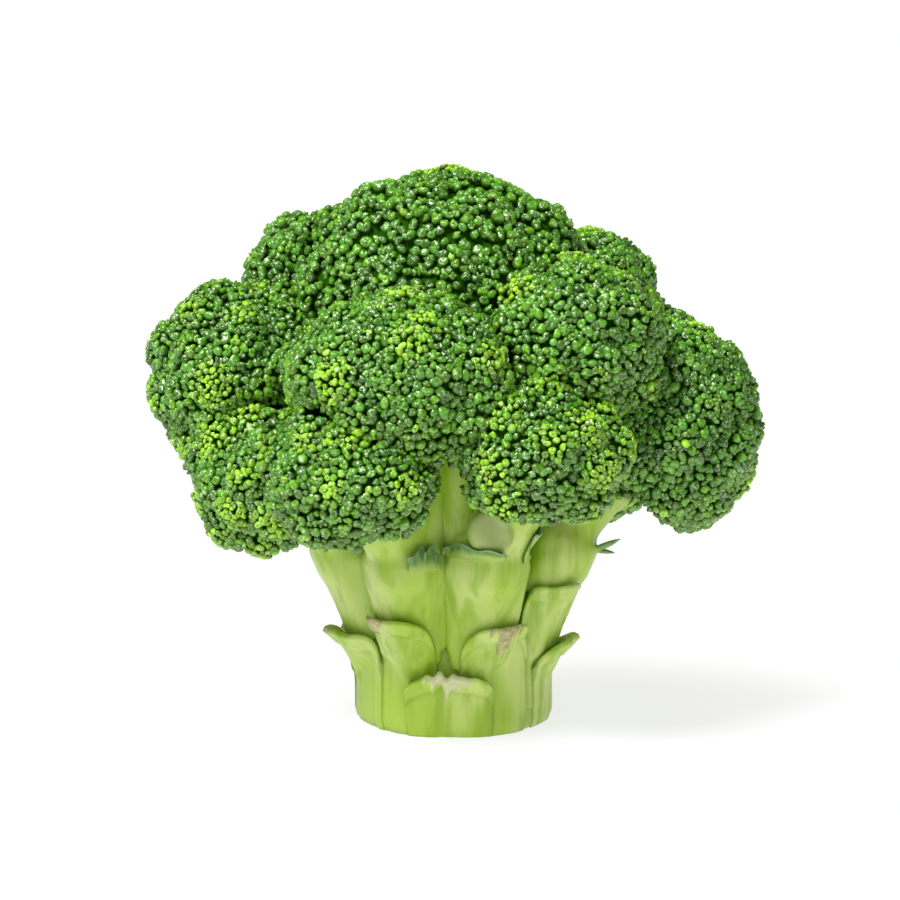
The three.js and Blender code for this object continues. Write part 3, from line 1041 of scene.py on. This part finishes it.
def sheet_points(wall, centre, half, foot, top, profile, scar, random):
    """Points of a closed sheet that lies on the wall, where each column is across it, and how
    deep each point is below its top edge. profile(across, deep) gives its thickness."""
    across = np.linspace(-1, 1, SHEET_COLUMNS)
    up = np.linspace(0, 1, SHEET_ROWS) ** 0.8
    corner = 0.22 * np.abs(across) ** 6 + 0.12 * np.abs(across) ** 16
    crest = (top - foot) * (1 - corner) + 0.35 * MM * wave(across, random, 3, 9)
    torn = np.exp(-(((across - scar.middle) / scar.half) ** 2))
    crest += scar.rise * torn * (0.75 + 0.35 * wave(across * 3, random, 5, 9))
    angles = centre + half * across
    heights = foot + crest[None] * up[:, None]
    walls = wall.radii(angles, heights, 3, along=True)
    thick = profile(across[None], crest[None] * (1 - up[:, None]))
    lip, last = thick[-1], walls[-1]
    reach = np.concatenate([walls + thick, [last + share * lip for share, _ in LIP_ROLL]])
    level = np.concatenate([heights, [heights[-1] + rise * lip for _, rise in LIP_ROLL]])
    for end in (0, -1):
        reach[: len(up), end] = walls[:, end] - EMBED
        reach[len(up) :, end] = last[end] - EMBED
        level[len(up) :, end] = heights[-1, end]
    reach = np.concatenate([reach, walls[::-1] - EMBED])
    height = np.concatenate([level, heights[::-1]])
    return wall.grid(angles, reach, height), across, crest * (1 - up[:, None])


class Scar:
    """The healed wound on a leaf base's lip: where it is across it, from -1 to 1, half its
    width, how far it runs down, how far it stands above the lip, and how pale it is."""

    def __init__(self, middle, half, depth, rise=0.0, pale=0.0):
        self.middle, self.half = middle, half
        self.depth, self.rise, self.pale = depth * MM, rise * MM, pale


SCARS = {
    "leaf_base_low_front": Scar(0.0, 0.42, 4.2, 1.6, 1.0),
    "leaf_base_front_left": Scar(-0.38, 0.3, 4.6, 0.3, 0.3),
    "leaf_base_front_right": Scar(0.0, 0.34, 6.8, 0.2, 0.35),
    "leaf_base_left": Scar(-0.55, 0.4, 2.6, 0.2, 0.6),
    "leaf_base_right": Scar(0.5, 0.35, 2.4, 0.2, 0.6),
    "leaf_base_right_upper": Scar(0.6, 0.25, 1.8, 0.2, 0.8),
}
USUAL_SCAR = Scar(0.1, 0.3, 3.0, 0.4, 0.5)


def sheet_mesh(name, grid, marks):
    """A closed, painted mesh over a grid of points whose rows run round a closed profile."""
    rows, columns = grid.shape[:2]
    index = np.arange(rows * columns).reshape(rows, columns)
    low, high = index, np.roll(index, -1, axis=0)
    faces = np.stack([low[:, :-1], low[:, 1:], high[:, 1:], high[:, :-1]], axis=2).reshape(-1, 4)
    mesh = mesh_of(name, grid.reshape(-1, 3), faces)
    paint(mesh, "marks", marks)
    with editing(mesh) as shape:
        bmesh.ops.remove_doubles(shape, verts=shape.verts, dist=0.01 * MM)
        bmesh.ops.dissolve_degenerate(shape, dist=0.005 * MM, edges=shape.edges)
        bmesh.ops.holes_fill(shape, edges=[edge for edge in shape.edges if edge.is_boundary])
        bmesh.ops.triangulate(shape, faces=[face for face in shape.faces if len(face.verts) > 4])
        bmesh.ops.recalc_face_normals(shape, faces=shape.faces)
    mesh.shade_smooth()
    return mesh


def leaf_base_marks(grid, across, deep, scar, random):
    """Where a leaf base has healed, on and under its lip, and painted shade in the creases where
    its edges and its rolled lip tuck into the stalk, and in a band under its lip.
    """
    rows, columns = grid.shape[:2]
    front = len(deep) + len(LIP_ROLL)
    deep = np.concatenate([deep, np.zeros((len(LIP_ROLL), columns)), deep[::-1]])
    side = across[None]
    marks = np.zeros((rows, columns, 3))
    narrow = np.abs(side - scar.middle) / scar.half
    ragged = 0.25 * wave(side * 12, random)
    limit = scar.depth * np.clip(1.05 - narrow + ragged, 0, None)
    wound = np.clip((limit - deep) / (0.7 * MM) + 0.2, 0, 1) * (narrow < 1.3)
    marks[:, :, 0] = wound * (1 - 0.75 * scar.pale)
    marks[:, :, 2] = wound * scar.pale
    # Painted shade in the creases: along the edges, where the sheet tucks into the stalk, and on
    # the rolled lip next to it.
    edge = np.clip((np.abs(side) - 0.94) / 0.05, 0, 1) * (np.arange(rows) > 0)[:, None]
    shelf = np.zeros((rows, 1))
    shelf[front - 2 :] = 1.0
    # Painted shade in a band just under the lip.
    shade_under_lip = np.exp(-(((deep - LIP_DEPTH) / (0.5 * MM)) ** 2)) * (1 - wound)
    green_and_shade = np.maximum(0.7 * edge, 0.9 * shelf * (1 - 0.5 * wound))
    marks[:, :, 1] = np.clip(np.maximum(green_and_shade, 0.15 * shade_under_lip), 0, 1)
    marks[front:, :, ::2] = 0
    return marks.reshape(-1, 3)


class BROCCOLI_OT_leaf_bases(Operator):
    """Grow the leaf bases on the stalk, the lowest last, because it lies outermost"""

    bl_idname = "broccoli.leaf_bases"
    bl_label = "Grow Leaf Bases"

    def execute(self, context):
        material = stalk_material("leaf_base_rind", context.scene.broccoli_stalk)
        wall = Wall()
        spans = {node: span_of(node, wall.axis) for node in LEAF_BASES}
        for number, node in enumerate(sorted(LEAF_BASES, key=lambda name: -spans[name][3])):
            centre, half, foot, top, reach = spans[node]
            random = np.random.default_rng(100 + number)
            stand = max(0.75 * (reach - wall.radius(centre, top)), LEAST_STAND)
            wobble = random.uniform(0, 6)
            scar = SCARS.get(node, USUAL_SCAR)

            def profile(across, deep):
                flat = 1 - np.abs(across) ** 3
                body = 0.3 * MM + 0.6 * MM * flat * np.clip(1.4 - deep / (14 * MM), 0, 1)
                flare = np.clip(1 - deep / (11 * MM), 0, 1) ** 2.2
                lip = np.clip((LIP_DEPTH - deep) / (1.1 * MM), 0, 1)
                lip = lip * lip * (3 - 2 * lip)
                lobes = 1 + 0.12 * np.sin(7 * across + wobble) + 0.08 * np.sin(13 * across)
                ridge = 1.15 * MM * lip * (0.45 + 0.55 * flat) * lobes
                worn = np.exp(-(((across - scar.middle) / scar.half) ** 2))
                ridge *= 1 - 0.55 * worn * np.clip(deep / scar.depth, 0, 1)
                return body + ridge + stand * flare * (0.15 + 0.85 * flat) * lobes

            grid, across, deep = sheet_points(
                wall, centre, 1.12 * half, foot, top, profile, scar, random
            )
            marks = leaf_base_marks(grid, across, deep, scar, random)
            mesh = sheet_mesh(node + "_sheath", grid, marks)
            piece = add_object(node + "_sheath", mesh, material)
            finish_piece(piece, node)
            wall.add(mesh)
        return {"FINISHED"}


def frill_points(wall, centre, half, foot, top, flare, random):
    """A thin wavy blade that stands off the wall, as a grid that runs up its front and down its
    back, and how far up the blade each row is."""
    across = np.linspace(-1, 1, 48)
    up = np.linspace(0, 1, 14)
    ruffle = wave(across, random, 4, 11)
    crest = (top - foot) * (0.86 + 0.10 * ruffle) * (1 - 0.55 * np.abs(across) ** 4)
    heights = foot + crest[None] * up[:, None]
    angles = centre + half * across
    walls = wall.radii(angles, heights, 4)
    lean = flare * up[:, None] ** 1.7 * (1 + 0.45 * wave(across, random, 6, 13))[None]
    thick = (0.55 - 0.25 * up[:, None]) * MM * (1 - across**8)
    front = walls + 0.5 * MM + lean + thick
    back = walls + 0.5 * MM + lean - thick
    front[0] = back[0] = walls[0] - EMBED
    reach = np.concatenate([front, back[::-1]])
    height = np.concatenate([heights, heights[::-1]])
    return wall.grid(angles, reach, height), np.concatenate([up, up[::-1]])


def lobe_points(start, along, rise, length, width):
    """A small flat leaf that bends upwards from its start, as a grid that runs round it."""
    share = np.linspace(0, 1, 14)[None, :, None]
    turn = np.linspace(0, 2 * math.pi, 14, endpoint=False)[:, None, None]
    side = unit(np.cross(along, [0, 0, 1]))
    over = np.cross(side, along)
    spread = width * np.sin(math.pi * (0.16 + 0.84 * share)) ** 0.8
    middle = start + length * share * along + rise * share**2 * np.array([0, 0, 1])
    flat = 0.4 * np.sin(turn) + 0.25 * np.cos(turn) ** 2
    return middle + spread * (np.cos(turn) * side + flat * over), share[0, :, 0]


def blade_marks(up, pale=0.3):
    """Red over a blade's pale foot, up to a share of its height, and green along its rim."""
    foot, rim = np.clip((pale - up) / 0.3 + 0.5, 0, 1), np.clip((up - 0.9) / 0.06, 0, 1)
    return np.stack([foot, rim, np.zeros_like(up)], axis=1)


# How far each blade leans out at its top, how much of its node's height it keeps, and how far
# up it is pale.
BLADES = {
    "leaflet_front_collar": (2.2 * MM, 0.5, 0.55),
    "leaflet_front_frill": (1.8 * MM, 0.8, 0.4),
    "leaflet_front_flap": (1.6 * MM, 1.0, 0.95),
}


class BROCCOLI_OT_leaflets(Operator):
    """Grow the leaf scraps on the branches"""

    bl_idname = "broccoli.leaflets"
    bl_label = "Grow Leaf Scraps"

    def execute(self, context):
        material = leaf_material("leaf_blade")
        wall = Wall()
        for number, node in enumerate(LEAFLETS):
            random = np.random.default_rng(300 + number)
            centre, half, foot, top, reach = span_of(node, wall.axis)
            if node.endswith("sprig"):
                mesh = self.sprig(node, wall, centre, (foot + top) / 2, reach)
            else:
                flare, kept, pale = BLADES[node]
                foot = top - kept * (top - foot)
                grid, up = frill_points(wall, centre, 1.15 * half, foot, top, flare, random)
                marks = blade_marks(np.repeat(up, grid.shape[1]), pale)
                mesh = sheet_mesh(node + "_blade", grid, marks)
            piece = add_object(node + "_blade", mesh, material)
            finish_piece(piece, node)
        return {"FINISHED"}

    def sprig(self, node, wall, centre, height, reach):
        """Two small leaves that grow from one place on the wall."""
        mesh = bpy.data.meshes.new(node + "_blade")
        deep = wall.radius(centre, height) - EMBED
        outward = np.array([math.cos(centre), math.sin(centre), 0])
        start = np.array([*wall.axis, height]) + deep * outward
        with editing(mesh) as shape:
            for turn, tilt, size in ((-0.25, 0.35, 1.0), (0.35, -0.1, 0.72)):
                out = unit(np.array([math.cos(centre + turn), math.sin(centre + turn), tilt]))
                length, width = size * (reach - deep), 1.9 * MM * size
                grid, up = lobe_points(start, out, 2.2 * MM * tilt, length, width)
                part = sheet_mesh("lobe", grid, blade_marks(np.tile(up, grid.shape[0])))
                shape.from_mesh(part)
                bpy.data.meshes.remove(part)
        mesh.shade_smooth()
        return mesh


# ---- stage

DOME = (0.26, 0.88)  # the dome's strength at the horizon and overhead
DOME_IN_GLOSS = 0.06  # the share of it that reflections see
KEY_PLACE, KEY_POWER, KEY_SPREAD = (-0.52, -0.60, 1.05), 3.45, math.radians(16)
FLOOR_GLOW = (0.99, 0.75)  # the floor's own light, far from the head's shadow and in it
SHADE_MIDDLE = (40 * MM, -5 * MM, 0)
SHADE_REACH = (20 * MM, 100 * MM)  # from the middle, where the shadow starts to fade and ends
FLOOR_HALF = 12.0
TARGET_OFFSET, TARGET_HEIGHT = -1 * MM, 66 * MM  # what the camera looks at, from the axis

def add_sun(name, place, power, spread):
    """A soft, even light that shines from a place towards the origin."""
    lamp = bpy.data.lights.new(name, "SUN")
    lamp.energy = power
    lamp.angle = spread
    holder = bpy.data.objects.new(name, lamp)
    holder.location = place
    holder.rotation_euler = (-Vector(place)).to_track_quat("-Z", "Y").to_euler()
    bpy.context.scene.collection.objects.link(holder)


def light_world(tree):
    """A white studio dome, brightest overhead, which reflections see dimmer than surfaces do."""
    nodes = Nodes(tree)
    direction = nodes.node("TexCoord").outputs["Generated"]
    up = nodes.node("SeparateXYZ", in_0=direction).outputs["Z"]
    dome = nodes.node("MapRange", in_Value=up, in_To_Min=DOME[0], in_To_Max=DOME[1])
    glossy = nodes.node("LightPath").outputs["Is Glossy Ray"]
    seen = nodes.node("MapRange", in_Value=glossy, in_To_Min=1.0, in_To_Max=DOME_IN_GLOSS)
    strength = nodes.product(dome.outputs["Result"], seen.outputs["Result"])
    background = tree.nodes["Background"]
    background.inputs["Color"].default_value = (1, 1, 1, 1)
    tree.links.new(strength, background.inputs["Strength"])


def floor_material():
    """A pale light table: its own glow keeps the shadows on it faint, and fades them out away
    from the head."""
    paint_ = Paint("floor", 0.9, Specular_IOR_Level=0.0)
    paint_.shader.inputs["Emission Color"].default_value = (1, 1, 0.995, 1)
    away = paint_.node("VectorMath", operation="DISTANCE", in_0=paint_.place(), in_1=SHADE_MIDDLE)
    dark = paint_.ramp(away.outputs["Value"], *SHADE_REACH, 1.0, 0.0)
    paint_.link(paint_.ramp(dark, 0.0, 1.0, *FLOOR_GLOW), "Emission Strength")
    paint_.link(paint_.blend(dark, *FLOOR), "Base Color")
    return paint_.material


class BROCCOLI_OT_stage(Operator):
    """Set up the floor, the lights and the camera"""

    bl_idname = "broccoli.stage"
    bl_label = "Set Up Stage"

    def execute(self, context):
        settings = context.scene.broccoli_stage
        corners = FLOOR_HALF * np.array([(-1, -1, 0), (1, -1, 0), (1, 1, 0), (-1, 1, 0)])
        floor = add_object("floor", mesh_of("floor", corners, np.array([[0, 1, 2, 3]])))
        floor.data.materials.append(floor_material())

        world = bpy.data.worlds.new("Studio")
        world.use_nodes = True
        light_world(world.node_tree)
        context.scene.world = world
        context.scene.view_settings.view_transform = "Standard"
        add_sun("key", KEY_PLACE, KEY_POWER, KEY_SPREAD)

        camera = bpy.data.cameras.new("Camera")
        camera.lens = settings.lens / MM
        camera.clip_end = 60
        holder = bpy.data.objects.new("Camera", camera)
        axis_x, axis_y = stalk_axis()
        target = Vector((axis_x + TARGET_OFFSET, axis_y, TARGET_HEIGHT))
        away = Vector((0, -math.cos(settings.elevation), math.sin(settings.elevation)))
        holder.location = target + settings.distance * away
        holder.rotation_euler = (-away).to_track_quat("-Z", "Y").to_euler()
        context.scene.collection.objects.link(holder)
        context.scene.camera = holder
        return {"FINISHED"}


class BROCCOLI_PT_panel(Panel):
    """Lists the settings and the steps"""

    bl_idname = "BROCCOLI_PT_panel"
    bl_label = "Broccoli Head"
    bl_space_type = "VIEW_3D"
    bl_region_type = "UI"
    bl_category = "Broccoli"

    def draw(self, context):
        for group in (
            context.scene.broccoli_buds,
            context.scene.broccoli_stalk,
            context.scene.broccoli_stage,
        ):
            box = self.layout.box()
            for name in group.__annotations__:
                box.prop(group, name)
        for step in STEPS:
            self.layout.operator(step.bl_idname)


STEPS = (
    BROCCOLI_OT_stage,
    BROCCOLI_OT_stalk,
    BROCCOLI_OT_branches,
    BROCCOLI_OT_leaf_bases,
    BROCCOLI_OT_leaflets,
    BROCCOLI_OT_crowns,
)
CLASSES = (BudSettings, StalkSettings, StageSettings, *STEPS, BROCCOLI_PT_panel)


def register():
    for item in CLASSES:
        bpy.utils.register_class(item)
    bpy.types.Scene.broccoli_buds = PointerProperty(type=BudSettings)
    bpy.types.Scene.broccoli_stalk = PointerProperty(type=StalkSettings)
    bpy.types.Scene.broccoli_stage = PointerProperty(type=StageSettings)


def unregister():
    del bpy.types.Scene.broccoli_buds
    del bpy.types.Scene.broccoli_stalk
    del bpy.types.Scene.broccoli_stage
    for item in reversed(CLASSES):
        bpy.utils.unregister_class(item)


def main():
    register()
    bpy.ops.broccoli.stage()
    bpy.ops.broccoli.stalk()
    bpy.ops.broccoli.branches()
    bpy.ops.broccoli.leaf_bases()
    bpy.ops.broccoli.leaflets()
    bpy.ops.broccoli.crowns()


if __name__ == "__main__":
    main()
